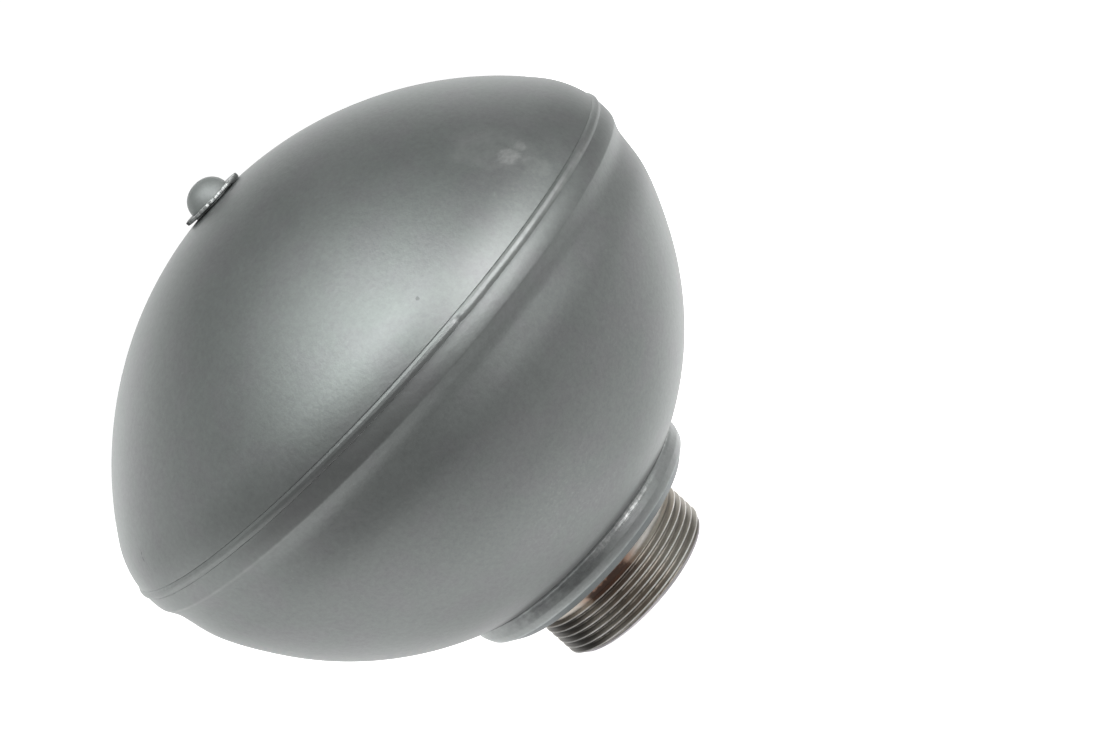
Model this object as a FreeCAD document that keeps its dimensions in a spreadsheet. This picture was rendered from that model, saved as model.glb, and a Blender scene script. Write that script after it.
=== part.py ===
"""Hydropneumatic suspension sphere, in millimetres.

The sphere stands on the end face of its threaded neck: the origin is the centre of that face, and +Z runs up
the axis to the filler plug on the gas dome. Every round piece is a turned profile about this axis.
"""
import FreeCAD, Part
import math
import os
import re
import Sketcher

SIZES = {
    # the two shells and the seam between them
    "seam_height": (71.7, "neck end to the plane of the seam"),
    "shell_wall": (3.2, "wall of both shells"),
    "crown_height": (36.2, "gas dome above the seam"),
    "knuckle_radius": (19.5, "gas dome's shoulder"),
    "knuckle_drop": (4.03, "centre of the shoulder's circle below the seam"),
    "knuckle_proud": (0.05, "furthest reach of that circle beyond the band"),
    "bowl_radius": (60.9, "hydraulic bowl, outside"),
    "bowl_clearance": (1.26, "collar's top edge up to the bowl"),
    "band_proud": (0.35, "rim band of the bowl beyond the bowl's radius"),
    "band_depth": (5.6, "depth of the rim band"),
    "band_edge": (1.0, "rounding of the band's lower edge, each way"),
    "joggle_depth": (3.9, "slope from the band in to the valley"),
    "valley_drop": (1.85, "valley under the band, inside the band's radius"),
    "valley_depth": (3.4, "valley to the plain bowl"),
    "groove_depth": (1.95, "root of the weld groove inside the band's radius"),
    "groove_width": (1.6, "weld groove, along the axis"),
    "bead_proud": (0.45, "weld bead beyond the band"),
    "bead_crest": (0.7, "weld bead's crest below the plane of the seam"),
    "bead_crown": (0.12, "swell of each half of the weld bead"),
    # the neck fitting
    "thread_radius": (18.0, "major radius of the neck thread"),
    "thread_length": (10.0, "threaded length from the neck end"),
    "end_chamfer": (1.1, "chamfer at the neck end"),
    "land_radius": (17.4, "bare land above the thread"),
    "runout": (0.6, "slope from the thread down to the land"),
    "seal_face_height": (12.9, "neck end to the seal face"),
    "seal_face_radius": (24.2, "outer edge of the seal face"),
    "collar_radius": (26.6, "collar at its lower edge"),
    "collar_edge": (1.9, "height of the collar's lower chamfer"),
    "collar_flare": (0.6, "how much wider the collar is at its top"),
    "collar_side": (3.0, "height of the collar's side"),
    "spigot_radius": (21.9, "upper spigot, inside the bowl's hole"),
    "bore_radius": (13.0, "neck bore"),
    "bore_chamfer": (0.6, "chamfer at the mouth of the bore"),
    "port_radius": (10.0, "port between the damper and the bowl"),
    "port_depth": (5.2, "inner face of the fitting down to the damper's shoulder"),
    "collar_bevel": (1.0, "bevel of the collar's top edge, under the weld"),
    "fillet_reach": (1.7, "neck weld on the bowl, beyond the collar's top edge"),
    "fillet_crown": (0.4, "swell of the neck weld"),
    # the filler plug
    "filler_hole": (1.8, "radius of the hole in the gas dome's pole"),
    "plug_radius": (4.3, "head of the filler plug"),
    "plug_height": (3.7, "head above the flash ring"),
    "flash_radius": (6.3, "edge of the flash ring"),
    "flash_wall": (0.55, "thickness of the flash ring"),
    "flash_lift": (0.4, "underside of the flash ring's edge above the pole"),
    "plug_stem": (6.5, "length of the plug's stem below the pole"),
    # the diaphragm and what holds it
    "membrane_wall": (2.0, "thickness of the membrane"),
    "soft_gap": (0.3, "gap between the membrane and the metal"),
    "fit_gap": (0.1, "radial gap of metal in metal"),
    "clamp_width": (3.2, "clamp ring, across"),
    "clamp_depth": (2.2, "clamp ring, along the axis"),
    "lip_width": (1.1, "lip of the clamp ring, across"),
    "lip_depth": (1.5, "lip of the clamp ring, into the bead"),
    "bead_depth": (4.4, "rim bead below the clamp ring"),
    "bead_width": (4.6, "rim bead, across"),
    "button_radius": (12.0, "centre button"),
    "button_wall": (2.5, "plate of the centre button"),
    "button_stem": (3.0, "stem through the membrane"),
    "button_head": (5.5, "head above the membrane"),
    "button_edge": (0.6, "chamfer of the button's edges"),
    "head_wall": (1.5, "thickness of that head"),
    # the damper valve
    "body_height": (4.7, "damper body"),
    "body_seat": (0.5, "depth of the ring recess under the discs"),
    "recess_inner": (4.9, "inner radius of that recess"),
    "recess_outer": (7.5, "outer radius of that recess"),
    "port_drill": (0.8, "radius of a drilled port"),
    "port_inner": (6.2, "port's radius from the axis, under the discs"),
    "port_outer": (9.2, "port's radius from the axis, at its open end"),
    "disc_radius": (8.2, "largest spring disc"),
    "disc_step": (0.9, "each next disc is smaller by this"),
    "disc_wall": (0.3, "thickness of a spring disc"),
    "spacer_radius": (4.6, "spacer"),
    "spacer_wall": (0.5, "thickness of a spacer"),
    "stop_radius": (7.4, "stop washer"),
    "stop_wall": (0.8, "thickness of a stop washer"),
    "stop_dish": (0.35, "lift of a stop washer's rim"),
    "bolt_radius": (2.5, "shank of the damper bolt"),
    "bolt_head": (4.4, "radius of the bolt's head"),
    "bolt_head_wall": (1.8, "height of the bolt's head"),
    "bolt_tail": (0.4, "bolt beyond the nut"),
    "bleed_radius": (0.6, "bleed hole through the bolt"),
    "nut_flats": (8.0, "nut, across flats"),
    "nut_height": (2.4, "nut"),
    "ring_reach": (0.8, "retaining ring into the wall of the bore"),
    "ring_width": (2.1, "retaining ring, across"),
    "ring_height": (1.2, "retaining ring"),
    "seal_wire": (0.75, "section radius of the damper seal"),
    "seal_gap": (0.05, "seal short of the bore and of its groove's floor"),
    "seal_play": (0.3, "seal groove wider than the seal"),
}
DISCS = 3
PORTS = 6
RING_GAP = 34.0

doc = FreeCAD.newDocument("SuspensionSphere")
sheet = doc.addObject("Spreadsheet::Sheet", "Sizes")
for row, (alias, (value, meaning)) in enumerate(SIZES.items(), start=1):
    sheet.set(f"A{row}", meaning)
    sheet.set(f"B{row}", str(value))
    sheet.setAlias(f"B{row}", alias)
doc.recompute()


def cell(word):
    """A size's name turned into its cell of the sheet. Any other word, such as sqrt, stays."""
    name = word.group()
    return f"Sizes.{name}" if name in SIZES else name


def bound(text):
    """The expression with each size's name turned into its cell."""
    return re.sub(r"[a-z_]+", cell, text)


def number(text):
    """What an expression is worth now."""
    return float(sheet.evalExpression(bound(text)))


# Heights up the axis that several pieces share, as expressions of the sizes.
COLLAR_FOOT = "(seal_face_height + collar_edge)"
COLLAR_TOP = f"({COLLAR_FOOT} + collar_side)"
COLLAR_REACH = "(collar_radius + collar_flare)"
BOWL_FOOT = f"({COLLAR_TOP} + bowl_clearance)"
BOWL_CENTRE = f"({BOWL_FOOT} + sqrt(bowl_radius ^ 2 - {COLLAR_REACH} ^ 2))"
POLE = "(seam_height + crown_height)"
BOWL_INNER = "(bowl_radius - shell_wall)"
HOLE = "(spigot_radius + fit_gap)"
INNER_FACE = f"({BOWL_CENTRE} - sqrt({BOWL_INNER} ^ 2 - {HOLE} ^ 2))"
SHOULDER = f"({INNER_FACE} - port_depth)"
BODY_FOOT = f"({SHOULDER} - body_height)"
STACK = f"(disc_wall * {DISCS})"
CLAMP_FOOT = "(seam_height - clamp_depth)"
BEAD_FOOT = f"({CLAMP_FOOT} - bead_depth)"
BAND = "(bowl_radius + band_proud)"
BAND_INNER = f"({BAND} - shell_wall)"
VALLEY_RADIUS = f"({BAND} - valley_drop)"
GROOVE_ROOT = f"({BAND} - groove_depth)"
KNUCKLE_OUT = f"({BAND} + knuckle_proud - knuckle_radius)"
KNUCKLE_RISE = "(crown_height + knuckle_drop)"
CROWN_RADIUS = (f"(({KNUCKLE_OUT} ^ 2 + {KNUCKLE_RISE} ^ 2 - knuckle_radius ^ 2)"
                f" / (2 * ({KNUCKLE_RISE} - knuckle_radius)))")
CROWN_CENTRE = f"({POLE} - {CROWN_RADIUS})"
VALLEY = "(seam_height - band_depth - joggle_depth)"
BUTTON_TOP = f"({INNER_FACE} + button_wall)"
MEMBRANE_TOP = f"({BUTTON_TOP} + membrane_wall)"
SEAL_HEIGHT = f"({BODY_FOOT} + body_height / 2)"
UPPER_STOP = f"({SHOULDER} + {STACK} + spacer_wall)"
HEAD_FOOT = f"({UPPER_STOP} + stop_wall)"
LOWER_STOP = f"({BODY_FOOT} - {STACK} - spacer_wall - stop_wall)"
NUT_FOOT = f"({LOWER_STOP} - nut_height)"


def on_bowl(radius, sphere):
    """Height of a sphere about the bowl's centre, at a distance from the axis, below the centre."""
    return f"({BOWL_CENTRE} - sqrt({sphere} ^ 2 - {radius} ^ 2))"


def on_bowl_at(height, sphere):
    """Distance from the axis at which that sphere has a height."""
    return f"sqrt({sphere} ^ 2 - ({BOWL_CENTRE} - {height}) ^ 2)"


def on_crown(radius, sphere):
    """Height of a sphere about the crown's centre, at a distance from the axis, above the centre."""
    return f"({CROWN_CENTRE} + sqrt({sphere} ^ 2 - {radius} ^ 2))"


def swell(start, end, crown):
    """Radius of the arc that stands out by crown between two corners."""
    chord = f"(({end[0]} - {start[0]}) ^ 2 + ({end[1]} - {start[1]}) ^ 2)"
    return f"({chord} / (8 * {crown}) + {crown} / 2)"


def arc_between(start, end, radius):
    """Circle arc from start to end. A positive radius bulges to the right of the way along."""
    chord = end - start
    half = chord.Length / 2
    rise = math.sqrt(max(radius * radius - half * half, 0.0))
    left = FreeCAD.Vector(-chord.y, chord.x, 0).normalize()
    side = 1 if radius > 0 else -1
    centre = (start + end) * 0.5 + left * rise * side
    first, last = (start, end) if side > 0 else (end, start)
    turn_from = math.atan2(first.y - centre.y, first.x - centre.x)
    turn_to = math.atan2(last.y - centre.y, last.x - centre.x)
    if turn_to <= turn_from:
        turn_to += 2 * math.pi
    circle = Part.Circle(centre, FreeCAD.Vector(0, 0, 1), abs(radius))
    return Part.ArcOfCircle(circle, turn_from, turn_to), side > 0


def turned(label, path, angle=360.0):
    """A piece turned about the axis from a closed profile.

    The path is a list of corners: distance from the axis and height, each an expression. A third entry gives
    the edge that leaves the corner an arc of that radius, with a minus sign when it bulges to the left.
    """
    body = doc.addObject("PartDesign::Body", label)
    plane = next(item for item in body.Origin.OriginFeatures if item.Role == "XZ_Plane")
    sketch = body.newObject("Sketcher::SketchObject", label + "_profile")
    sketch.AttachmentSupport = [(plane, "")]
    sketch.MapMode = "FlatFace"
    corners = [FreeCAD.Vector(number(step[0]), number(step[1]), 0) for step in path]
    ends = []
    for index, step in enumerate(path):
        start = corners[index]
        end = corners[(index + 1) % len(path)]
        if len(step) > 2:
            edge, forward = arc_between(start, end, number(step[2]))
        else:
            edge, forward = Part.LineSegment(start, end), True
        place = sketch.addGeometry(edge)
        ends.append((place, 1, 2) if forward else (place, 2, 1))
    for (place, _, last), (after, first, _) in zip(ends, ends[1:] + ends[:1]):
        sketch.addConstraint(Sketcher.Constraint("Coincident", place, last, after, first))
    for step, (place, first, _) in zip(path, ends):
        if step[0] == "0":
            sketch.addConstraint(Sketcher.Constraint("PointOnObject", place, first, -2))
        else:
            bind(sketch, ("DistanceX", -1, 1, place, first), step[0])
        bind(sketch, ("DistanceY", -1, 1, place, first), step[1])
        if len(step) > 2:
            bind(sketch, ("Radius", place), step[2].lstrip("-"))
    turn = body.newObject("PartDesign::Revolution", label + "_turn")
    turn.Profile = sketch
    turn.ReferenceAxis = (sketch, ["V_Axis"])
    turn.Angle = angle
    body.Tip = turn
    sketch.Visibility = False
    return body


def bind(sketch, kind, text):
    """A dimension of a sketch, driven by the sheet."""
    index = sketch.addConstraint(Sketcher.Constraint(*kind, number(text)))
    sketch.setExpression(f"Constraints[{index}]", bound(text))


def knuckle(wall):
    """The gas dome's shoulder, this far inside its outer face.

    The crown runs through the pole and touches the shoulder's circle. This gives the radius of the rim, the
    shoulder arc's radius, the corner where it meets the crown, and the crown's radius there.
    """
    radius = f"(knuckle_radius - {wall})"
    sphere = f"({CROWN_RADIUS} - {wall})"
    rim = f"({KNUCKLE_OUT} + sqrt({radius} ^ 2 - knuckle_drop ^ 2))"
    share = f"({sphere} / ({CROWN_RADIUS} - knuckle_radius))"
    rise = f"(seam_height - knuckle_drop - {CROWN_CENTRE})"
    return rim, radius, (f"({KNUCKLE_OUT} * {share})", f"({CROWN_CENTRE} + {rise} * {share})"), sphere


def gas_shell():
    rim, radius, meet, sphere = knuckle("0")
    inner_rim, inner_radius, inner_meet, inner_sphere = knuckle("shell_wall")
    return turned("gas_shell", [
        (inner_rim, "seam_height"),
        (rim, "seam_height", radius),
        (*meet, sphere),
        ("filler_hole", on_crown("filler_hole", sphere)),
        ("filler_hole", on_crown("filler_hole", inner_sphere), "-" + inner_sphere),
        (*inner_meet, "-" + inner_radius),
    ])


def hydraulic_shell():
    band_foot = "(seam_height - band_depth)"
    valley_end = f"({VALLEY} - valley_depth)"
    edge_in = "(valley_drop * band_edge / joggle_depth)"
    edge_foot = (f"({BAND} - {edge_in})", f"({band_foot} - band_edge)")
    edge_top = (BAND, f"({band_foot} + band_edge)")
    return turned("hydraulic_shell", [
        (HOLE, on_bowl(HOLE, BOWL_INNER)),
        (HOLE, on_bowl(HOLE, "bowl_radius"), "bowl_radius"),
        (on_bowl_at(valley_end, "bowl_radius"), valley_end),
        (VALLEY_RADIUS, VALLEY),
        (*edge_foot, swell(edge_foot, edge_top, f"({edge_in} / 4)")),
        edge_top,
        (BAND, "(seam_height - groove_width)"),
        (GROOVE_ROOT, "seam_height"),
        (BAND_INNER, "seam_height"),
        (BAND_INNER, BEAD_FOOT),
        (on_bowl_at(VALLEY, BOWL_INNER), VALLEY, "-" + BOWL_INNER),
    ])


def seam_weld():
    foot = (BAND, "(seam_height - groove_width)")
    crest = (f"({BAND} + bead_proud)", "(seam_height - bead_crest)")
    rim = (knuckle("0")[0], "seam_height")
    return turned("seam_weld", [
        (GROOVE_ROOT, "seam_height"),
        (*foot, swell(foot, crest, "bead_crown")),
        (*crest, swell(crest, rim, "bead_crown")),
        rim,
    ])


def neck_fitting():
    edge = f"({COLLAR_REACH} - collar_bevel)"
    seat = "(bowl_radius + fit_gap)"
    groove = "(bore_radius + ring_reach)"
    groove_foot = f"({BODY_FOOT} - ring_height - fit_gap)"
    return turned("neck_fitting", [
        ("(bore_radius + bore_chamfer)", "0"),
        ("(thread_radius - end_chamfer)", "0"),
        ("thread_radius", "end_chamfer"),
        ("thread_radius", "thread_length"),
        ("land_radius", "(thread_length + runout)"),
        ("land_radius", "seal_face_height"),
        ("seal_face_radius", "seal_face_height"),
        ("collar_radius", COLLAR_FOOT),
        (COLLAR_REACH, COLLAR_TOP),
        (edge, on_bowl(edge, seat), "-" + seat),
        ("spigot_radius", on_bowl("spigot_radius", seat)),
        ("spigot_radius", INNER_FACE),
        ("port_radius", INNER_FACE),
        ("port_radius", SHOULDER),
        ("bore_radius", SHOULDER),
        ("bore_radius", BODY_FOOT),
        (groove, BODY_FOOT),
        (groove, groove_foot),
        ("bore_radius", groove_foot),
        ("bore_radius", "bore_chamfer"),
    ])


def neck_weld():
    root = f"({COLLAR_REACH} - collar_bevel)"
    reach = f"({COLLAR_REACH} + fillet_reach)"
    foot = (COLLAR_REACH, COLLAR_TOP)
    crest = (reach, on_bowl(reach, "bowl_radius"))
    return turned("neck_weld", [
        (root, on_bowl(root, "bowl_radius")),
        (*foot, swell(foot, crest, "fillet_crown")),
        (*crest, "-bowl_radius"),
    ])


def filler_plug():
    stem = "(filler_hole - fit_gap)"
    head_foot = f"({POLE} + flash_lift + flash_wall)"
    head = "((plug_radius ^ 2 + plug_height ^ 2) / (2 * plug_height))"
    return turned("filler_plug", [
        ("0", f"({POLE} - plug_stem)"),
        (f"({stem} / 2)", f"({POLE} - plug_stem)"),
        (stem, f"({POLE} - plug_stem + {stem})"),
        (stem, POLE),
        ("plug_radius", POLE),
        ("plug_radius", head_foot, head),
        ("0", f"({head_foot} + plug_height)"),
    ])


def plug_flash():
    return turned("plug_flash", [
        ("plug_radius", POLE),
        ("flash_radius", f"({POLE} + flash_lift)"),
        ("flash_radius", f"({POLE} + flash_lift + flash_wall)"),
        ("plug_radius", f"({POLE} + flash_lift + flash_wall)"),
    ])


def clamp_ring():
    outer = f"({BAND_INNER} - fit_gap)"
    inner = f"({outer} - clamp_width)"
    lip_foot = f"({CLAMP_FOOT} - lip_depth)"
    return turned("clamp_ring", [
        (outer, CLAMP_FOOT),
        (outer, "seam_height"),
        (inner, "seam_height"),
        (inner, lip_foot),
        (f"({inner} + lip_width)", lip_foot),
        (f"({inner} + lip_width)", CLAMP_FOOT),
    ])


def diaphragm():
    hole = "(button_stem + soft_gap)"
    outer = f"({BOWL_INNER} - soft_gap)"
    inner = f"({outer} - membrane_wall)"
    floor = f"({INNER_FACE} + soft_gap)"
    floor_top = f"({floor} + membrane_wall)"
    step = "(button_radius + soft_gap)"
    joint_height = f"({VALLEY} - soft_gap)"
    bead_outer = f"({BAND_INNER} - soft_gap)"
    bead_inner = f"({bead_outer} - bead_width)"
    lip_foot = f"({CLAMP_FOOT} - lip_depth)"
    lip_outer = f"({BAND_INNER} - fit_gap - clamp_width + lip_width)"
    return turned("diaphragm", [
        (hole, BUTTON_TOP),
        (step, BUTTON_TOP),
        (f"({step} + button_edge)", floor),
        (on_bowl_at(floor, outer), floor, outer),
        (on_bowl_at(joint_height, outer), joint_height),
        (bead_outer, BEAD_FOOT),
        (bead_outer, CLAMP_FOOT),
        (lip_outer, CLAMP_FOOT),
        (lip_outer, lip_foot),
        (bead_inner, lip_foot),
        (bead_inner, BEAD_FOOT),
        (on_bowl_at(joint_height, inner), joint_height, "-" + inner),
        (on_bowl_at(floor_top, inner), floor_top),
        (f"({step} + membrane_wall + button_edge)", floor_top),
        (f"({step} + membrane_wall)", MEMBRANE_TOP),
        (hole, MEMBRANE_TOP),
    ])


def diaphragm_button():
    head_top = f"({MEMBRANE_TOP} + head_wall)"
    return turned("diaphragm_button", [
        ("0", INNER_FACE),
        ("(button_radius - button_edge)", INNER_FACE),
        ("button_radius", f"({INNER_FACE} + button_edge)"),
        ("button_radius", BUTTON_TOP),
        ("button_stem", BUTTON_TOP),
        ("button_stem", MEMBRANE_TOP),
        ("button_head", MEMBRANE_TOP),
        ("button_head", f"({head_top} - button_edge)"),
        ("(button_head - button_edge)", head_top),
        ("0", head_top),
    ])


def slanted_port(label, mouth, way, azimuth):
    """A drill through the damper body, from its open mouth in to the recess under the discs.

    It runs up for way 1 and down for way -1, and starts outside the body by half its depth.
    """
    drill = doc.addObject("Part::Cylinder", label)
    inward = "(port_outer - port_inner)"
    start = f"(port_outer + {inward} / 2)"
    lean = f"(90 deg - atan({inward} / body_height))"
    places = {
        "Radius": "port_drill",
        "Height": f"2 * sqrt(body_height ^ 2 + {inward} ^ 2)",
        "Placement.Base.x": f"{start} * cos({azimuth})",
        "Placement.Base.y": f"{start} * sin({azimuth})",
        "Placement.Base.z": f"{mouth} - {way} * body_height / 2",
        "Placement.Rotation.Axis.x": f"-sin({azimuth})",
        "Placement.Rotation.Axis.y": f"cos({azimuth})",
        "Placement.Rotation.Axis.z": "0",
        "Placement.Rotation.Angle": f"{way} * {lean} - 90 deg",
    }
    for place, text in places.items():
        drill.setExpression(place, bound(text))
    return drill


def damper_body():
    """The turned blank, then one ring of slanted ports for each way of flow."""
    drilled = "(bolt_radius + fit_gap)"
    outer = "(bore_radius - fit_gap)"
    floor = "(bore_radius - 2 * seal_gap - 2 * seal_wire)"
    groove_foot = f"({SEAL_HEIGHT} - seal_wire - seal_play / 2)"
    groove_top = f"({SEAL_HEIGHT} + seal_wire + seal_play / 2)"
    blank = turned("damper_blank", [
        (drilled, BODY_FOOT),
        ("recess_inner", BODY_FOOT),
        ("recess_inner", f"({BODY_FOOT} + body_seat)"),
        ("recess_outer", f"({BODY_FOOT} + body_seat)"),
        ("recess_outer", BODY_FOOT),
        (outer, BODY_FOOT),
        (outer, groove_foot),
        (floor, groove_foot),
        (floor, groove_top),
        (outer, groove_top),
        (outer, SHOULDER),
        ("recess_outer", SHOULDER),
        ("recess_outer", f"({SHOULDER} - body_seat)"),
        ("recess_inner", f"({SHOULDER} - body_seat)"),
        ("recess_inner", SHOULDER),
        (drilled, SHOULDER),
    ])
    pitch = 360.0 / PORTS
    drills = []
    for index in range(PORTS):
        drills.append(slanted_port(f"compression_port_{index + 1}", BODY_FOOT, 1, pitch * index))
        drills.append(slanted_port(f"rebound_port_{index + 1}", SHOULDER, -1, pitch * (index + 0.5)))
    ports = doc.addObject("Part::MultiFuse", "ports")
    ports.Shapes = drills
    cut = doc.addObject("Part::Cut", "damper_body")
    cut.Base = blank
    cut.Tool = ports
    return cut


def washer(label, outer, foot, top):
    """A flat ring on the damper bolt."""
    hole = "(bolt_radius + fit_gap)"
    return turned(label, [(hole, foot), (outer, foot), (outer, top), (hole, top)])


def stop_washer(label, foot, way):
    """A washer whose rim is dished away from the damper body: up for way 1, down for way -1."""
    hole = "(bolt_radius + fit_gap)"
    top = f"({foot} + stop_wall)"
    return turned(label, [
        (hole, foot),
        ("spacer_radius", foot),
        ("stop_radius", f"({foot} + {way} * stop_dish)"),
        ("stop_radius", f"({top} + {way} * stop_dish)"),
        ("spacer_radius", top),
        (hole, top),
    ])


def damper_discs():
    pieces = []
    for index in range(DISCS):
        outer = f"(disc_radius - disc_step * {index})"
        above = f"({SHOULDER} + disc_wall * {index})"
        below = f"({BODY_FOOT} - disc_wall * {index + 1})"
        pieces.append(washer(f"compression_disc_{index + 1}", outer, above, f"({above} + disc_wall)"))
        pieces.append(washer(f"rebound_disc_{index + 1}", outer, below, f"({below} + disc_wall)"))
    return pieces


def damper_bolt():
    head_top = f"({HEAD_FOOT} + bolt_head_wall)"
    return turned("damper_bolt", [
        ("bleed_radius", f"({NUT_FOOT} - bolt_tail)"),
        ("bolt_radius", f"({NUT_FOOT} - bolt_tail)"),
        ("bolt_radius", HEAD_FOOT),
        ("bolt_head", HEAD_FOOT),
        ("bolt_head", f"({HEAD_FOOT} + bolt_head_wall / 2)"),
        ("(bolt_head - bolt_head_wall / 2)", head_top),
        ("bleed_radius", head_top),
    ])


def damper_nut():
    """A hexagonal prism, rounded off by a turned blank with coned ends and drilled for the bolt."""
    corner = "(nut_flats / 2 / cos(30))"
    drop = f"(({corner} - nut_flats / 2) * tan(30))"
    hole = "(bolt_radius + fit_gap / 2)"
    prism = doc.addObject("Part::Prism", "nut_prism")
    prism.Polygon = 6
    prism.setExpression("Circumradius", bound(corner))
    prism.setExpression("Height", bound("nut_height"))
    prism.setExpression("Placement.Base.z", bound(NUT_FOOT))
    blank = turned("nut_blank", [
        (hole, NUT_FOOT),
        ("(nut_flats / 2)", NUT_FOOT),
        (corner, f"({NUT_FOOT} + {drop})"),
        (corner, f"({NUT_FOOT} + nut_height - {drop})"),
        ("(nut_flats / 2)", f"({NUT_FOOT} + nut_height)"),
        (hole, f"({NUT_FOOT} + nut_height)"),
    ])
    nut = doc.addObject("Part::MultiCommon", "damper_nut")
    nut.Shapes = [prism, blank]
    return nut


def retaining_ring():
    outer = "(bore_radius + ring_reach - fit_gap)"
    inner = f"({outer} - ring_width)"
    foot = f"({BODY_FOOT} - ring_height)"
    corners = [(inner, foot), (outer, foot), (outer, BODY_FOOT), (inner, BODY_FOOT)]
    return turned("retaining_ring", corners, 360.0 - RING_GAP)


def damper_seal():
    seal = doc.addObject("Part::Torus", "damper_seal")
    seal.setExpression("Radius1", bound("bore_radius - seal_gap - seal_wire"))
    seal.setExpression("Radius2", bound("seal_wire"))
    seal.setExpression("Placement.Base.z", bound(SEAL_HEIGHT))
    return seal


def build():
    above = f"({SHOULDER} + {STACK})"
    below = f"({BODY_FOOT} - {STACK})"
    return [
        gas_shell(), hydraulic_shell(), seam_weld(),
        neck_fitting(), neck_weld(),
        filler_plug(), plug_flash(),
        clamp_ring(), diaphragm(), diaphragm_button(),
        damper_body(), *damper_discs(),
        washer("upper_spacer", "spacer_radius", above, UPPER_STOP),
        washer("lower_spacer", "spacer_radius", f"({LOWER_STOP} + stop_wall)", below),
        stop_washer("upper_stop", UPPER_STOP, 1),
        stop_washer("lower_stop", LOWER_STOP, -1),
        damper_bolt(), damper_nut(), retaining_ring(), damper_seal(),
    ]


def check(pieces):
    """Every object has built, and every piece is one valid solid."""
    for item in doc.Objects:
        if "Invalid" in item.State or "Error" in item.State:
            raise RuntimeError(f"{item.Label} did not build: {item.State}")
    for piece in pieces:
        if piece.Shape.isNull() or not piece.Shape.isValid() or len(piece.Shape.Solids) != 1:
            raise RuntimeError(f"{piece.Label} is not one valid solid")


pieces = build()
doc.recompute()
check(pieces)
os.makedirs("parts", exist_ok=True)
for piece in pieces:
    piece.Shape.exportStep(f"parts/{piece.Label}.step")
    box = piece.Shape.BoundBox
    print(f"{piece.Label}: {piece.Shape.Volume / 1000:.2f} cm3, z {box.ZMin:.2f} to {box.ZMax:.2f}")
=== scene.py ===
"""The looks of a hydropneumatic suspension sphere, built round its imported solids.

Everything is in the part's own frame: +Z runs up the axis, and the origin is the middle of the neck's end
face. Sizes are in millimetres and angles in degrees, counted from +X towards +Y.
"""

import math

import bmesh
import bpy
import numpy as np
from mathutils import Matrix, Vector, noise


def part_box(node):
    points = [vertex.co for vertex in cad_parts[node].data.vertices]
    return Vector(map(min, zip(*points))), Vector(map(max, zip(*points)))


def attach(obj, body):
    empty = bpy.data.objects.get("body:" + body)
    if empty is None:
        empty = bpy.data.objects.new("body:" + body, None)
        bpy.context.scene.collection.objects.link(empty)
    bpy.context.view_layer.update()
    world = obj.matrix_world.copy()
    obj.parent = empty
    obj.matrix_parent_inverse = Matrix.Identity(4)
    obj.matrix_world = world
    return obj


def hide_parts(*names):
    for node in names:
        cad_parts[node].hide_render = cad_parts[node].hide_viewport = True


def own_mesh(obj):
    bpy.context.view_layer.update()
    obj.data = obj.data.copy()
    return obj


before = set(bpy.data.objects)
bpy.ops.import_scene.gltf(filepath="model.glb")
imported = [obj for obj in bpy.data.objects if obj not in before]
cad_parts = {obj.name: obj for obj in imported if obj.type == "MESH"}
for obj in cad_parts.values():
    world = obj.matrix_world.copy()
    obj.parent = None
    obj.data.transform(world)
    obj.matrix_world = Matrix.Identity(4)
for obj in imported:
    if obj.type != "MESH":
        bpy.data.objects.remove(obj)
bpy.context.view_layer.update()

MM = 0.001

# Points of a new mesh that lie closer than this, in metres, become one.
MERGE_DISTANCE = 2e-6

# How many facets go round each kind of turned piece.
SHELL_FACETS = 320
WELD_FACETS = 960
THREAD_FACETS = 288
PLUG_FACETS = 160
RING_FACETS = 420
RUBBER_FACETS = 240


def span(node):
    """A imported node's furthest reach from the axis, its lowest height and its highest, in millimetres."""
    low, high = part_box(node)
    return high.x / MM, low.z / MM, high.z / MM


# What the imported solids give: reach from the axis, foot and top.
_, SEAM, _ = span("gas_shell")
BAND_REACH, _, _ = span("hydraulic_shell")
_, BEAD_FOOT, _ = span("seam_weld")
COLLAR_REACH, _, INNER_FACE = span("neck_fitting")
WELD_REACH, COLLAR_TOP, _ = span("neck_weld")
HEAD_RADIUS, PLUG_FOOT, PLUG_TOP = span("filler_plug")
FLASH_REACH, FLASH_FOOT, FLASH_TOP = span("plug_flash")
_, MEMBRANE_FOOT, MEMBRANE_TOP = span("diaphragm")
BUTTON_REACH, _, _ = span("diaphragm_button")
_, BODY_FOOT, SHOULDER = span("damper_body")

# The two shells.
SHELL_WALL = 3.2
KNUCKLE_RADIUS = 19.5
KNUCKLE_DROP = 4.03
KNUCKLE_OUT = BAND_REACH + 0.05 - KNUCKLE_RADIUS
POLE = SEAM + 36.2
FILLER_HOLE = 1.8
RIM_EASE = 0.04
BOWL_RADIUS = 60.9
BOWL_CENTRE = COLLAR_TOP + 1.26 + math.sqrt(BOWL_RADIUS ** 2 - COLLAR_REACH ** 2)
BAND_FOOT = SEAM - 5.35
BAND_INNER = BAND_REACH - SHELL_WALL
VALLEY_HEIGHT = SEAM - 9.5
GROOVE_ROOT = 59.3

# The lean of the bowl's outside in degrees, negative where it faces down, at depths below the seam: the
# rounded rim band, its crisp lower edge, the slope under it, the shallow valley, and the sphere's start.
BAND_LEAN = (
    (1.75, -3), (2.4, 4.5), (3.0, 3), (3.8, -1), (5.1, -8.5),
    (5.4, -24.5), (6.6, -25), (8.2, -14.2),
    (9.2, -7.8), (12.5, -7.2), (15.0, -13.4), (17.0, -19),
    (19.0, -21.5), (22.0, -24.5), (26.0, -27.5),
)

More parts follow.
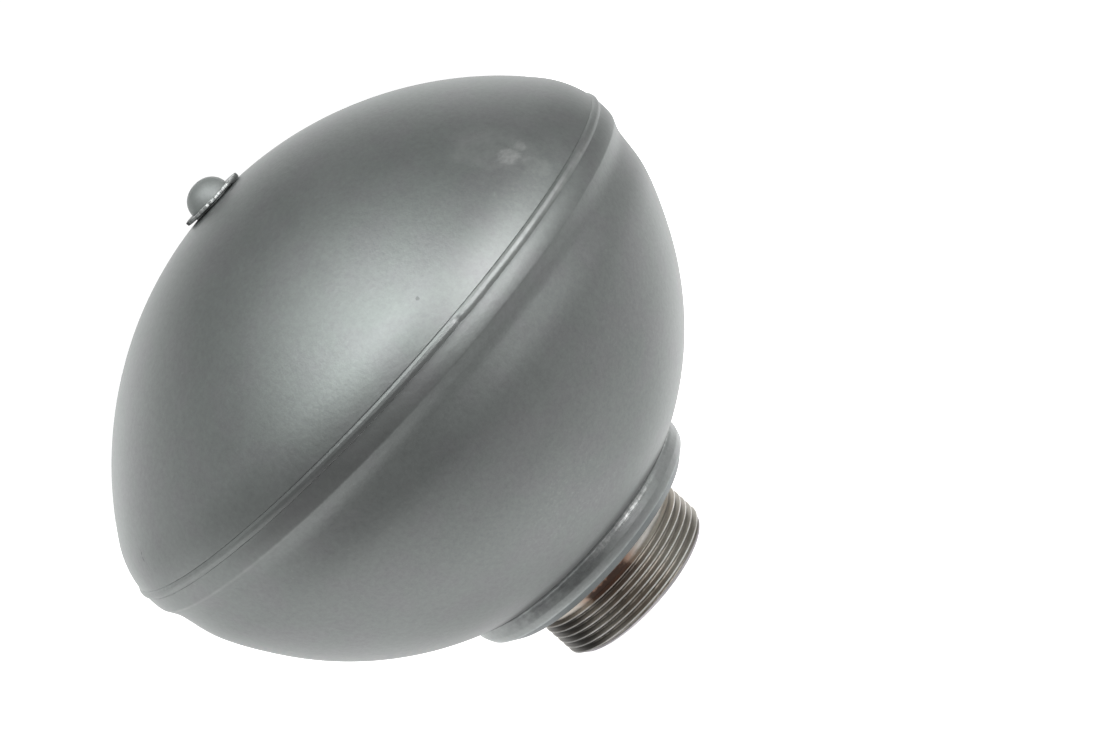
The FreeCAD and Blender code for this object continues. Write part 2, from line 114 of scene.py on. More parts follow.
# The neck.
PITCH = 1.5
THREAD_RADIUS = 18.0
THREAD_DEPTH = 0.92
FLANK_DEPTH = 0.81
THREAD_TOP = 9.0
RUNOUT_TOP = 9.5
END_CHAMFER = 1.1
LAND_RADIUS = 17.4
SEAL_FACE = 12.9
SEAL_FACE_RADIUS = 24.2
COLLAR_FOOT = 14.8
COLLAR_RADIUS = 26.6
SPIGOT_RADIUS = 21.9
PORT_RADIUS = 10.0
BORE_RADIUS = 13.0
SNAP_GROOVE_DEPTH = 0.8
SNAP_GROOVE_WIDTH = 1.3

# The diaphragm: the ledge in the bowl that carries its rim bead, and where its wall is held fast.
BEAD_LEDGE = MEMBRANE_FOOT + 44.6
RUBBER_WALL = 2.0

# Places, as angles round the axis: the nick in the seam's weld, the neck's stain, and the side of the thread
# darkened with painted shade.
NICK_AZIMUTH = 11.2
STAIN_AZIMUTH = -10.0
THREAD_SHADE_AZIMUTH = -68.0

# Marks in the shells' paint: angle round the axis, reach from it, height, and size.
SCUFF = (41.8, 57.0, 79.6, 2.6)
SCUFF_TAIL = (45.5, 57.6, 79.3, 1.7)
SCUFF_HAZE = (43.0, 55.0, 82.4, 8.0)
SCUFF_FOOT = (42.0, 59.6, 75.6, 3.0)
RIM_CHIP = (-65.0, 58.7, 77.6, 1.2)
PINPRICK = (10.0, 58.8, 77.4, 0.4)
SPRAY = (3.0, 45.0, 33.0, 12.0)

# Colours, as linear red, green and blue.
DEEP_PAINT = (0.345, 0.372, 0.362)
PALE_PAINT = (0.375, 0.388, 0.384)
BLUISH_PAINT = (0.362, 0.366, 0.372)
PAINT_FLAKE = (0.55, 0.56, 0.55)
BAND_SHADE = (0.22, 0.212, 0.216)
RUBBED_PAINT_AND_HIGHLIGHT = (0.66, 0.67, 0.66)
CHIP_AND_CREVICE_SHADE = (0.12, 0.12, 0.12)
WELD_HIGHLIGHT_AND_WEAR = (0.72, 0.74, 0.73)
WELD_SHADE = (0.17, 0.175, 0.175)
SCRATCHED_WELD_HIGHLIGHT = (0.80, 0.81, 0.80)
CREVICE_SHADE = (0.07, 0.075, 0.075)
COLLAR_GRIME = (0.17, 0.172, 0.18)
COLLAR_SHADE = (0.13, 0.15, 0.16)
COLLAR_EDGE_HIGHLIGHT_AND_WEAR = (0.66, 0.70, 0.70)
OILY_STEEL = (0.33, 0.31, 0.27)
GREY_STEEL = (0.52, 0.50, 0.46)
ROOT_OIL = (0.20, 0.185, 0.16)
BROWN_OIL = (0.24, 0.18, 0.13)
THREAD_SHADE = (0.04, 0.038, 0.034)
GROOVE_HIGHLIGHT = (0.88, 0.80, 0.72)
CREST_STEEL_AND_HIGHLIGHT = (0.97, 0.96, 0.93)
CHAMFER_STEEL = (0.80, 0.77, 0.80)
STRAW_LAND = (0.96, 0.84, 0.72)
CREAM_LAND = (1.0, 0.95, 0.88)
COPPER_LAND = (0.86, 0.52, 0.36)
LAND_HIGHLIGHT = (1.0, 0.98, 0.94)
DARK_STAIN = (0.10, 0.07, 0.06)
RING_HIGHLIGHT = (0.82, 0.84, 0.83)
RUBBED_PLUG = (0.6, 0.61, 0.6)
ZINC_BLUE = (0.60, 0.61, 0.62)
ZINC_YELLOW = (0.70, 0.68, 0.60)
STRIP_BLUE = (0.40, 0.41, 0.44)
STRIP_STRAW = (0.50, 0.49, 0.47)
OILED_IRON = (0.20, 0.20, 0.205)
DRY_IRON = (0.30, 0.295, 0.29)
IRON_PORE = (0.06, 0.06, 0.06)
DARK_NYLON = (0.06, 0.062, 0.065)
PALE_NYLON = (0.10, 0.102, 0.106)
WHITE = (1.0, 1.0, 1.0)

# The lamps, each a square soft box: the direction it stands in from the sphere's middle, how many degrees
# wide it looks from there, its power and its colour.
LAMP_DISTANCE = 700.0
LAMPS = {
    "left_box": ((0.58, 0.07, 0.81), 38, 2.84, (0.96, 1.0, 0.985)),
    "right_box": ((0.75, 0.65, 0.17), 29, 2.28, WHITE),
    "high_box": ((0.32, 0.92, 0.22), 36, 0.3, WHITE),
    "back_wall": ((-0.99, 0.04, -0.14), 85, 8.4, WHITE),
    "right_wall": ((-0.40, 0.55, -0.73), 60, 1.37, WHITE),
    "left_wall": ((-0.54, -0.78, 0.32), 64, 1.33, WHITE),
    "low_left_wall": ((-0.14, -0.90, -0.42), 58, 1.38, WHITE),
    "low_wall": ((0.03, -0.24, -0.97), 50, 1.2, WHITE),
    "low_box": ((0.20, 0.32, -0.93), 34, 0.13, WHITE),
}
EVEN_LIGHT = 0.1

# The studio: how far its floor and its surround reach, and the floor's height, just under the neck's end.
STAGE_RADIUS = 1600.0
FLOOR_HEIGHT = -0.02

# The camera: its place in metres, the directions of its own axes, its sensor and lens, and how near it sees.
CAMERA_PLACE = (0.386279, -0.000016, 0.127353)
CAMERA_RIGHT = (0.19548, 0.66729, -0.71868)
CAMERA_UP = (-0.11390, 0.74331, 0.65918)
CAMERA_BACK = (0.97407, -0.04700, 0.22131)
SENSOR_WIDTH = 36.0
LENS = 68.43
CLIP_START = 0.01


def bowl_height(distance, radius=BOWL_RADIUS):
    """Height of the bowl's sphere at a distance from the axis."""
    return BOWL_CENTRE - math.sqrt(radius ** 2 - distance ** 2)


def bowl_reach(height, radius=BOWL_RADIUS):
    """Distance from the axis at which the bowl's sphere has a height."""
    return math.sqrt(radius ** 2 - (BOWL_CENTRE - height) ** 2)


def arc(centre, radius, start, end, steps):
    """Points on a circle about (distance, height), from the angle of one point to that of another."""
    first = math.atan2(start[1] - centre[1], start[0] - centre[0])
    last = math.atan2(end[1] - centre[1], end[0] - centre[0])
    turns = [first + (last - first) * step / steps for step in range(steps + 1)]
    return [(centre[0] + radius * math.cos(turn), centre[1] + radius * math.sin(turn)) for turn in turns]


def rounded(corners, steps=6):
    """The closed outline through the corners, each rounded by its third value where it has one."""
    outline = []
    for before, corner, after in zip(corners[-1:] + corners[:-1], corners, corners[1:] + corners[:1]):
        here = Vector(corner[:2])
        if len(corner) < 3:
            outline.append(here)
            continue
        back = Vector(before[:2]) - here
        ahead = Vector(after[:2]) - here
        reach = corner[2] / math.tan(back.angle(ahead) / 2)
        reach = min(reach, 0.45 * back.length, 0.45 * ahead.length)
        start = here + back.normalized() * reach
        end = here + ahead.normalized() * reach
        for step in range(steps + 1):
            share = step / steps
            outline.append(start.lerp(here, share).lerp(here.lerp(end, share), share))
    return np.array([tuple(point) for point in outline])


def ring_faces(columns, rows, closed=True):
    """Quads between neighbouring columns of points. A closed outline joins its last row to its first."""
    around = range(columns)
    along = range(rows if closed else rows - 1)
    return [
        (a * rows + b, a * rows + (b + 1) % rows, (a + 1) % columns * rows + (b + 1) % rows,
         (a + 1) % columns * rows + b)
        for a in around for b in along
    ]


def turned(outline, facets, warp=None):
    """Points and faces of a closed outline turned about the axis.

    The warp takes each point's turn in degrees, distance and height, and gives its new distance and height.
    """
    turn = np.linspace(0.0, 360.0, facets, endpoint=False)[:, None]
    distance, height = np.broadcast_arrays(outline[None, :, 0], outline[None, :, 1] + 0 * turn)
    if warp:
        distance, height = warp(turn + 0 * height, distance, height)
    angle = np.radians(turn)
    points = np.stack([distance * np.cos(angle), distance * np.sin(angle), height], axis=-1)
    return points.reshape(-1, 3), ring_faces(facets, len(outline))


def make_piece(name, points, faces, node, crease=38):
    """A watertight mesh from points in millimetres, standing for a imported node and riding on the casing."""
    mesh = bpy.data.meshes.new(name)
    mesh.from_pydata((np.asarray(points) * MM).tolist(), [], faces)
    work = bmesh.new()
    work.from_mesh(mesh)
    bmesh.ops.remove_doubles(work, verts=work.verts, dist=MERGE_DISTANCE)
    bmesh.ops.recalc_face_normals(work, faces=work.faces)
    work.to_mesh(mesh)
    work.free()
    mesh.shade_smooth()
    mesh.set_sharp_from_angle(angle=math.radians(crease))
    piece = bpy.data.objects.new(name, mesh)
    bpy.context.scene.collection.objects.link(piece)
    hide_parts(node)
    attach(piece, "casing")
    return piece


def wander(turn, scale, seed, octaves=3):
    """Smooth uneven values from about -1 to 1 that close up round the axis, for turns in degrees."""
    flat = np.radians(np.ravel(turn))
    ring = np.unique(flat)
    values = [noise.fractal(Vector((math.cos(a) * scale, math.sin(a) * scale, seed)), 0.6, 2.0, octaves)
              for a in ring]
    return np.interp(flat, ring, values).reshape(np.shape(turn))


def waves(turn, distance, height, size, start=(0, 0, 0)):
    """Smooth uneven values from about -1 to 1 over a turned surface, with swells of this many millimetres."""
    angle = np.radians(turn)
    points = np.stack([distance * np.cos(angle), distance * np.sin(angle), height], axis=-1).reshape(-1, 3)
    values = [noise.noise(Vector(point) / size + Vector(start)) for point in points]
    return np.array(values).reshape(turn.shape)


def bump_at(turn, centre, width):
    """A smooth bump of height 1 about one angle round the axis."""
    apart = (turn - centre + 180.0) % 360.0 - 180.0
    return np.exp(-(apart / width) ** 2)


def dome():
    """The gas dome: crown and shoulder, outside and inside, very slightly uneven as pressed steel is."""
    rise = POLE - (SEAM - KNUCKLE_DROP)
    crown_radius = (KNUCKLE_OUT ** 2 + rise ** 2 - KNUCKLE_RADIUS ** 2) / (2 * (rise - KNUCKLE_RADIUS))
    crown_centre = (0.0, POLE - crown_radius)
    knuckle_centre = (KNUCKLE_OUT, SEAM - KNUCKLE_DROP)
    lean = math.atan2(knuckle_centre[1] - crown_centre[1], KNUCKLE_OUT)

    def side(wall, steps):
        """Points from the rim to the hole at the pole, this far inside the outer face."""
        small = KNUCKLE_RADIUS - wall
        large = crown_radius - wall
        rim = (KNUCKLE_OUT + math.sqrt(small ** 2 - KNUCKLE_DROP ** 2), SEAM)
        meet = (large * math.cos(lean), crown_centre[1] + large * math.sin(lean))
        hole = (FILLER_HOLE, crown_centre[1] + math.sqrt(large ** 2 - FILLER_HOLE ** 2))
        return (arc(knuckle_centre, small, rim, meet, steps)[:-1]
                + arc(crown_centre, large, meet, hole, steps * 2))

    outer = side(0.0, 30)
    outer[0] = (outer[0][0], SEAM, RIM_EASE)
    inner = side(SHELL_WALL, 14)

    def warp(turn, distance, height):
        fade = np.clip((height - SEAM - 1.0) / 6.0, 0, 1) * np.clip((distance - 8.0) / 10.0, 0, 1)
        shift = 0.05 * waves(turn, distance, height, 26.0) * fade
        return distance + shift * 0.7, height + shift * 0.7

    points, faces = turned(rounded(outer + inner[::-1]), SHELL_FACETS, warp)
    make_piece("gas_dome", points, faces, "gas_shell")


def band_line():
    """The bowl's outside from the sphere up to the seam's bead, by adding up its lean."""
    depths, leans = zip(*BAND_LEAN)
    depth = np.concatenate([np.arange(depths[0], 10.0, 0.12), np.linspace(10.0, depths[-1], 50)])
    slope = np.tan(np.radians(np.interp(depth, depths, leans)))
    steps = np.diff(depth) * (slope[1:] + slope[:-1]) / 2
    reach = np.concatenate([[0.0], np.cumsum(steps)])
    reach += BAND_REACH - reach.max()
    past = np.clip((depth - 12.0) / (depths[-1] - 12.0), 0, 1)
    reach += (bowl_reach(SEAM - depths[-1]) - reach[-1]) * past
    return list(zip(reach, SEAM - depth))[::-1]


def bowl():
    """The hydraulic bowl with its wide rim band, the slope under the band and the valley."""
    hole = SPIGOT_RADIUS + 0.1
    centre = (0.0, BOWL_CENTRE)
    inner_radius = BOWL_RADIUS - SHELL_WALL
    band = band_line()
    outer = arc(centre, BOWL_RADIUS, (hole, bowl_height(hole)), band[0], 70)
    inner = arc(centre, inner_radius, (bowl_reach(VALLEY_HEIGHT, inner_radius), VALLEY_HEIGHT),
                (hole, bowl_height(hole, inner_radius)), 30)
    outline = rounded([
        *outer[:-1],
        *band,
        (GROOVE_ROOT, SEAM - 0.02),
        (BAND_INNER, SEAM - 0.02),
        (BAND_INNER, BEAD_LEDGE),
        *inner,
    ])

    def warp(turn, distance, height):
        fade = np.clip((BEAD_FOOT - 1.0 - height) / 6.0, 0, 1) * np.clip((distance - 32.0) / 8.0, 0, 1)
        shift = 0.045 * waves(turn, distance, height, 24.0, (9, 4, 2)) * fade
        return distance - np.abs(shift) * 0.5, height + shift

    points, faces = turned(outline, SHELL_FACETS, warp)
    make_piece("hydraulic_bowl", points, faces, "hydraulic_shell")


def seam_bead():
    """The weld bead: its width and crest wander, and it has a small nick where the weld starts and stops."""
    crest = BAND_REACH + 0.13
    middle = SEAM - 0.85
    root = BAND_REACH - 0.5
    outline = rounded([
        (GROOVE_ROOT + 0.05, SEAM - 0.05),
        (root, SEAM - 1.64),
        (BAND_REACH - 0.15, SEAM - 1.74),
        (BAND_REACH - 0.01, SEAM - 1.66, 0.3),
        (crest - 0.035, SEAM - 1.25, 0.5),
        (crest, SEAM - 1.0, 0.6),
        (crest - 0.12, SEAM - 0.5, 0.3),
        (BAND_REACH - 0.26, SEAM - 0.15, 0.14),
        (BAND_REACH - 0.4, SEAM - 0.03),
    ])
    high_side = 190.0

    def warp(turn, distance, height):
        out = np.clip((distance - root) / (crest - root), 0, 1)
        wide = 0.10 * wander(turn, scale=5.0, seed=3.0) + 0.05 * wander(turn, scale=60.0, seed=7.0)
        start = 0.10 * np.clip((turn - NICK_AZIMUTH) / 0.5, 0, 1) * (turn < 180)
        nick = bump_at(turn, NICK_AZIMUTH, 0.45)
        ripple = 0.012 * np.abs(wander(turn, scale=90.0, seed=1.0, octaves=2))
        drift = 0.06 * wander(turn, scale=3.0, seed=5.0)
        height = height + out * (height - middle) * (wide + start) + out * drift
        proud = 0.22 * bump_at(turn, high_side, 70.0) - 0.03 * np.abs(wander(turn, scale=8.0, seed=2.0))
        return distance + out * (proud - ripple - 0.2 * nick), height

    points, faces = turned(outline, WELD_FACETS, warp)
    make_piece("seam_bead", points, faces, "seam_weld", crease=60)


def thread_reach(phase):
    """Distance of the thread's surface from the axis, for phases of one pitch counted from crest to crest."""
    crest_half = 0.055
    root_half = 0.14
    apart = np.abs((phase + 0.5) % 1.0 - 0.5)
    flank = np.clip((apart - crest_half) / (0.5 - root_half - crest_half), 0, 1)
    floor = np.clip((apart - 0.5 + root_half) / root_half, 0, 1)
    return THREAD_RADIUS - FLANK_DEPTH * flank - (THREAD_DEPTH - FLANK_DEPTH) * np.sin(floor * math.pi / 2)


def thread():
    """Points and faces of the thread's helix, from the neck's end up to the land, where it runs out."""
    # Where the profile has points along one pitch: close together at the crest and the root.
    pitch_steps = [0.0, 0.045, 0.055, 0.075, 0.36, 0.4, 0.45, 0.5, 0.55, 0.6, 0.64, 0.925, 0.945, 0.955]
    turns = math.ceil(RUNOUT_TOP / PITCH) + 2
    phases = np.array([turn + step for turn in range(turns) for step in pitch_steps])
    around = np.arange(THREAD_FACETS + 1) / THREAD_FACETS
    height = (phases[None, :] - 1.0 + around[:, None]) * PITCH
    height = np.clip(height, 0.0, RUNOUT_TOP)
    reach = thread_reach(height / PITCH - around[:, None])
    runout = np.clip((height - THREAD_TOP) / (RUNOUT_TOP - THREAD_TOP), 0, 1)
    reach = reach + (LAND_RADIUS - reach) * runout ** 0.7
    reach = np.minimum(reach, THREAD_RADIUS - END_CHAMFER + height)
    angle = around[:, None] * 2 * math.pi
    points = np.stack([reach * np.cos(angle), reach * np.sin(angle), height], axis=-1).reshape(-1, 3)
    rows = len(phases)
    faces = [
        (a * rows + b, (a + 1) * rows + b, (a + 1) * rows + b + 1, a * rows + b + 1)
        for a in range(THREAD_FACETS) for b in range(rows - 1)
    ]
    return points, faces


def neck():
    """The neck fitting, one turned piece: thread, land, seal face, collar, spigot, port and bore."""
    seat = BOWL_RADIUS + 0.1
    edge = COLLAR_REACH - 1.0
    groove = BORE_RADIUS + SNAP_GROOVE_DEPTH
    groove_foot = BODY_FOOT - SNAP_GROOVE_WIDTH
    outline = rounded([
        (LAND_RADIUS, RUNOUT_TOP),
        (LAND_RADIUS, SEAL_FACE, 1.2),
        (SEAL_FACE_RADIUS, SEAL_FACE, 0.35),
        (COLLAR_RADIUS, COLLAR_FOOT, 0.3),
        (COLLAR_REACH - 0.28, COLLAR_TOP - 2.15, 1.0),
        (COLLAR_REACH - 0.02, COLLAR_TOP - 1.3, 1.6),
        (COLLAR_REACH, COLLAR_TOP),
        (edge, bowl_height(edge, seat)),
        (SPIGOT_RADIUS, bowl_height(SPIGOT_RADIUS, seat)),
        (SPIGOT_RADIUS, INNER_FACE, 0.3),
        (PORT_RADIUS, INNER_FACE, 0.3),
        (PORT_RADIUS, SHOULDER, 0.05),
        (BORE_RADIUS, SHOULDER),
        (BORE_RADIUS, BODY_FOOT),
        (groove, BODY_FOOT),
        (groove, groove_foot),
        (BORE_RADIUS, groove_foot, 0.1),
        (BORE_RADIUS, 0.6, 0.1),
        (BORE_RADIUS + 0.6, 0.0, 0.1),
        (THREAD_RADIUS - END_CHAMFER, 0.0),
    ], steps=4)
    reach, height = outline[:, 0], outline[:, 1]
    turn = np.arange(THREAD_FACETS)[:, None] / THREAD_FACETS * 2 * math.pi
    body = np.stack([reach * np.cos(turn), reach * np.sin(turn), height + 0 * turn], axis=-1).reshape(-1, 3)
    helix, helix_faces = thread()
    body_faces = [tuple(len(helix) + corner for corner in face)
                  for face in ring_faces(THREAD_FACETS, len(outline), closed=False)]
    make_piece("threaded_neck", np.concatenate([helix, body]), helix_faces + body_faces, "neck_fitting",
               crease=24)


def neck_bead():
    """The weld between bowl and collar: it carries the collar's side up, then flares on to the bowl."""
    root = COLLAR_REACH - 1.0
    flare = COLLAR_REACH + 0.55
    toe = WELD_REACH - 0.1
    outline = rounded([
        (root, bowl_height(root) + 0.05),
        (COLLAR_REACH, COLLAR_TOP),
        (COLLAR_REACH + 0.03, COLLAR_TOP + 0.35, 0.8),
        (COLLAR_REACH - 0.02, COLLAR_TOP + 1.05, 0.5),
        (flare, bowl_height(flare) - 0.16, 0.5),
        (toe, bowl_height(toe) - 0.12, 0.12),
        (toe - 0.15, bowl_height(toe - 0.15) + 0.3),
    ], steps=5)

    def warp(turn, distance, height):
        out = np.clip((height - COLLAR_TOP) / 1.2, 0, 1) * (distance > COLLAR_REACH - 0.1)
        push = 0.10 * wander(turn, scale=4.0, seed=11.0) + 0.06 * wander(turn, scale=24.0, seed=12.0) - 0.05
        return distance + out * push, height - out * 0.3 * push

    points, faces = turned(outline, WELD_FACETS, warp)
    make_piece("neck_bead", points, faces, "neck_weld", crease=60)


def plug():
    """The filler plug: a domed head, a little fuller than an ellipse, and the stem in the pole's hole."""
    rise = PLUG_TOP - FLASH_TOP
    steps = 26
    crown = []
    for step in range(steps):
        lean = math.pi / 2 * step / steps
        crown.append((HEAD_RADIUS * math.cos(lean) ** 0.94, FLASH_TOP + rise * math.sin(lean)))
    stem = FILLER_HOLE - 0.1
    outline = rounded([
        (0.0, PLUG_FOOT),
        (stem / 2, PLUG_FOOT, 0.2),
        (stem, PLUG_FOOT + stem, 0.4),
        (stem, POLE - 0.02),
        (HEAD_RADIUS, POLE - 0.02),
        *crown,
        (0.0, PLUG_TOP),
    ])
    points, faces = turned(outline, PLUG_FACETS)
    make_piece("plug_head", points, faces, "filler_plug")


def flash():
    """The thin ragged ring pressed out round the plug: tilted, chipped, and with a lump at one side."""
    root = HEAD_RADIUS - 0.3
    top = FLASH_TOP - 0.1
    outline = rounded([
        (root, FLASH_FOOT + 0.1),
        (FLASH_REACH - 0.5, FLASH_FOOT + 0.3, 0.15),
        (FLASH_REACH - 0.15, FLASH_FOOT + 0.33, 0.12),
        (FLASH_REACH - 0.1, top - 0.12, 0.12),
        (FLASH_REACH - 0.5, top, 0.15),
        (root, top - 0.1),
    ], steps=4)
    high_side = -78.0

    def warp(turn, distance, height):
        out = np.clip((distance - HEAD_RADIUS) / (FLASH_REACH - HEAD_RADIUS), 0, 1)
        upper = np.clip((height - FLASH_FOOT - 0.3) / 0.3, 0, 1)
        ragged = 0.12 * wander(turn, scale=2.2, seed=21.0) + 0.12 * wander(turn, scale=11.0, seed=22.0) - 0.02
        chips = 0.4 * bump_at(turn, -8.0, 3.0) + 0.8 * bump_at(turn, -82.0, 5.0)
        chips = chips + 0.2 * bump_at(turn, 30.0, 3.0)
        lump = bump_at(turn, 84.0, 26.0)
        tilt = 0.14 * np.cos(np.radians(turn - high_side)) + 0.08 * wander(turn, scale=3.0, seed=23.0)
        tilt = np.clip(tilt - 0.4 * lump - 0.05, -0.55, 0.1)
        thick = upper * (0.24 + 0.36 * lump)
        return distance + out * ((ragged - chips).clip(-1.3, 0.1) + 0.6 * lump), height + out * (tilt + thick)

    points, faces = turned(outline, RING_FACETS, warp)
    make_piece("plug_flash_ring", points, faces, "plug_flash", crease=50)


def membrane():
    """The rubber diaphragm, with its rim bead and its step round the button."""
    centre = (0.0, BOWL_CENTRE)
    outer = BOWL_RADIUS - SHELL_WALL - 0.3
    inner = outer - RUBBER_WALL
    floor = MEMBRANE_FOOT
    ceiling = MEMBRANE_FOOT + RUBBER_WALL
    hole = 3.3
    step = BUTTON_REACH + 0.3
    lift = MEMBRANE_FOOT + 2.2
    joint = VALLEY_HEIGHT - 0.3
    bead_outer = BAND_INNER - 0.3
    bead_inner = bead_outer - 4.6
    bead_foot = MEMBRANE_TOP - 4.4
    lip_outer = BAND_INNER - 2.2
    lip_foot = MEMBRANE_TOP - 1.5
    outline = rounded([
        (hole, lift),
        (step, lift, 0.2),
        (step + 0.6, floor, 0.3),
        *arc(centre, outer, (bowl_reach(floor, outer), floor), (bowl_reach(joint, outer), joint), 44),
        (bead_outer, bead_foot, 0.6),
        (bead_outer, MEMBRANE_TOP, 0.4),
        (lip_outer, MEMBRANE_TOP, 0.1),
        (lip_outer, lip_foot, 0.1),
        (bead_inner, lip_foot, 0.8),
        (bead_inner, bead_foot, 0.6),
        *arc(centre, inner, (bowl_reach(joint, inner), joint), (bowl_reach(ceiling, inner), ceiling), 44),
        (step + RUBBER_WALL + 0.6, ceiling, 0.8),
        (step + RUBBER_WALL, lift + RUBBER_WALL, 0.5),
        (hole, lift + RUBBER_WALL),
    ])
    points, faces = turned(outline, RUBBER_FACETS)
    piece = make_piece("rubber_diaphragm", points, faces, "diaphragm")
    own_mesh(piece)


class Socket:
    """One output of a finish's nodes, so that shader maths reads as plain expressions."""

    def __init__(self, finish, port):
        self.finish = finish
        self.port = port

    def maths(self, operation, *values):
        return self.finish.add("ShaderNodeMath", {"operation": operation}, dict(enumerate(values)))

    def __add__(self, other):
        return self.maths("ADD", self, other)

    def __sub__(self, other):
        return self.maths("SUBTRACT", self, other)

    def __rsub__(self, other):
        return self.maths("SUBTRACT", other, self)

    def __mul__(self, other):
        return self.maths("MULTIPLY", self, other)

    def __truediv__(self, other):
        return self.maths("DIVIDE", self, other)

    def __pow__(self, other):
        return self.maths("POWER", self, other)

    __radd__ = __add__
    __rmul__ = __mul__


class Finish:
    """A material under construction, with the places and masks that its recipe is written in."""

    def __init__(self, name):
        self.material = bpy.data.materials.new(name)
        self.material.use_nodes = True
        self.tree = self.material.node_tree
        self.tree.nodes.clear()
        self.place = self.add("ShaderNodeVectorMath", {"operation": "SCALE"},
                              {"Vector": self.add("ShaderNodeTexCoord", out="Object"), "Scale": 1 / MM})
        split = self.add("ShaderNodeSeparateXYZ", {}, {"Vector": self.place}).port.node
        self.across, self.along, self.height = (Socket(self, port) for port in split.outputs)
        self.reach = (self.across * self.across + self.along * self.along) ** 0.5

    def add(self, kind, settings=None, sockets=None, out=0):
        """One node: its type, its settings, then the values or links of its sockets. Gives one output."""
        node = self.tree.nodes.new(kind)
        for key, value in (settings or {}).items():
            setattr(node, key, value)
        by_identifier = {port.identifier: port for port in node.inputs}
        for key, value in (sockets or {}).items():
            port = node.inputs[key] if isinstance(key, int) else by_identifier.get(key) or node.inputs[key]
            if isinstance(value, Socket):
                self.tree.links.new(value.port, port)
            else:
                port.default_value = value
        outputs = {port.identifier: port for port in node.outputs}
        return Socket(self, outputs.get(out) or node.outputs[out]) if node.outputs else None

    def noise(self, size, detail=2.0, roughness=0.5, stretch=(1, 1, 1), seed=0.0):
        """Smooth noise from 0 to 1 whose features are about this many millimetres across."""
        shift = (seed, seed * 0.7, -seed)
        place = self.add("ShaderNodeVectorMath", {"operation": "MULTIPLY_ADD"},
                         {"Vector": self.place, "Vector_001": stretch, "Vector_002": shift})
        return self.add("ShaderNodeTexNoise", {"noise_dimensions": "3D"},
                        {"Vector": place, "Scale": 1 / size, "Detail": detail, "Roughness": roughness}, "Fac")

    def step(self, value, low, high):
        """0 below low and 1 above high, smooth between. It falls instead where low is above high."""
        down = low > high
        ends = (high, low) if down else (low, high)
        mask = self.add("ShaderNodeMapRange", {"interpolation_type": "SMOOTHSTEP"},
                        {"Value": value, "From Min": ends[0], "From Max": ends[1]})
        return 1 - mask if down else mask

    def mix(self, mask, first, second):
        """A colour that goes from first to second as the mask goes from 0 to 1."""
        return self.add("ShaderNodeMix", {"data_type": "RGBA", "clamp_factor": True},
                        {"Factor_Float": mask, "A_Color": colour(first), "B_Color": colour(second)},
                        "Result_Color")

    def shade(self, base, factor):
        """A colour made lighter or darker by a factor."""
        return self.add("ShaderNodeVectorMath", {"operation": "SCALE"},
                        {"Vector": colour(base, 3), "Scale": factor})

    def near(self, azimuth, width):
        """1 at one angle round the axis, falling to 0 this many degrees away."""
        turn = math.radians(azimuth)
        facing = (self.across * math.cos(turn) + self.along * math.sin(turn)) / self.reach
        return self.step(facing, math.cos(math.radians(width)), 1.0)

    def spot(self, mark, ragged, seed=0.0):
        """1 inside a small ragged patch, whose mark gives its angle, reach, height and size."""
        azimuth, reach, height, size = mark
        turn = math.radians(azimuth)
        centre = (reach * math.cos(turn), reach * math.sin(turn), height)
        apart = self.add("ShaderNodeVectorMath", {"operation": "DISTANCE"},
                         {"Vector": self.place, "Vector_001": centre}, "Value")
        wobble = self.noise(size * 0.8, 3.0, seed=seed)
        return self.step(apart + (wobble - 0.5) * (2 * ragged * size), size, size * 0.55)

    def grime(self):
        """Dark blotches over one side of the collar and of the weld above it."""
        blotches = self.step(self.noise(3.4, 4.0, 0.65, stretch=(1, 1, 1.6), seed=47.0), 0.28, 0.72)
        return blotches * self.near(-22.0, 42.0) * self.step(self.height, COLLAR_FOOT + 0.8, COLLAR_TOP - 0.4)

    def bump(self, height, distance):
        """The surface normal with this height field added, in millimetres times the distance."""
        return self.add("ShaderNodeBump", {}, {"Height": height, "Distance": distance * MM}, "Normal")

    def finish(self, base, metallic, roughness, normal=None, **even):
        """The shader and the material's output. Other inputs are even values set on the shader itself."""
        sockets = {"Base Color": colour(base), "Metallic": metallic, "Roughness": roughness, **even}
        if normal:
            sockets["Normal"] = normal
        shader = self.add("ShaderNodeBsdfPrincipled", {}, sockets)
        self.add("ShaderNodeOutputMaterial", {}, {"Surface": shader})
        return self.material


def colour(value, length=4):
    """A plain colour with its alpha, or a socket as it is."""
    return value if isinstance(value, Socket) else (*value, 1.0)[:length]


def painted(name):
    """Satin grey paint with metal flake: soft mottling, a little orange peel and a few specks."""
    f = Finish(name)
    cloud = f.noise(34.0, 2.0, seed=3.0)
    mottle = f.noise(4.5, 3.0, 0.6, seed=11.0)
    grain = f.noise(0.35, 2.0, 0.7, seed=5.0)
    peel = f.noise(0.9, 2.0, 0.5, seed=8.0)
    specks = f.step(f.noise(0.8, 1.0, seed=21.0), 0.75, 0.80)
    patches = f.step(f.noise(8.0, 2.0, 0.6, seed=27.0), 0.42, 0.66)
    tone = 0.685 + cloud * 0.1 + mottle * 0.1 + grain * 0.24 + peel * 0.22
    base = f.mix(cloud, DEEP_PAINT, PALE_PAINT)
    base = f.shade(f.mix(patches * 0.6, base, BLUISH_PAINT), tone)
    base = f.mix(specks * 0.2, base, PAINT_FLAKE)
    rough = 0.47 + mottle * 0.05 + cloud * 0.04 + grain * 0.05
    height = peel * 0.9 + mottle * 0.6 + grain * 0.4
    return f, base, rough, height


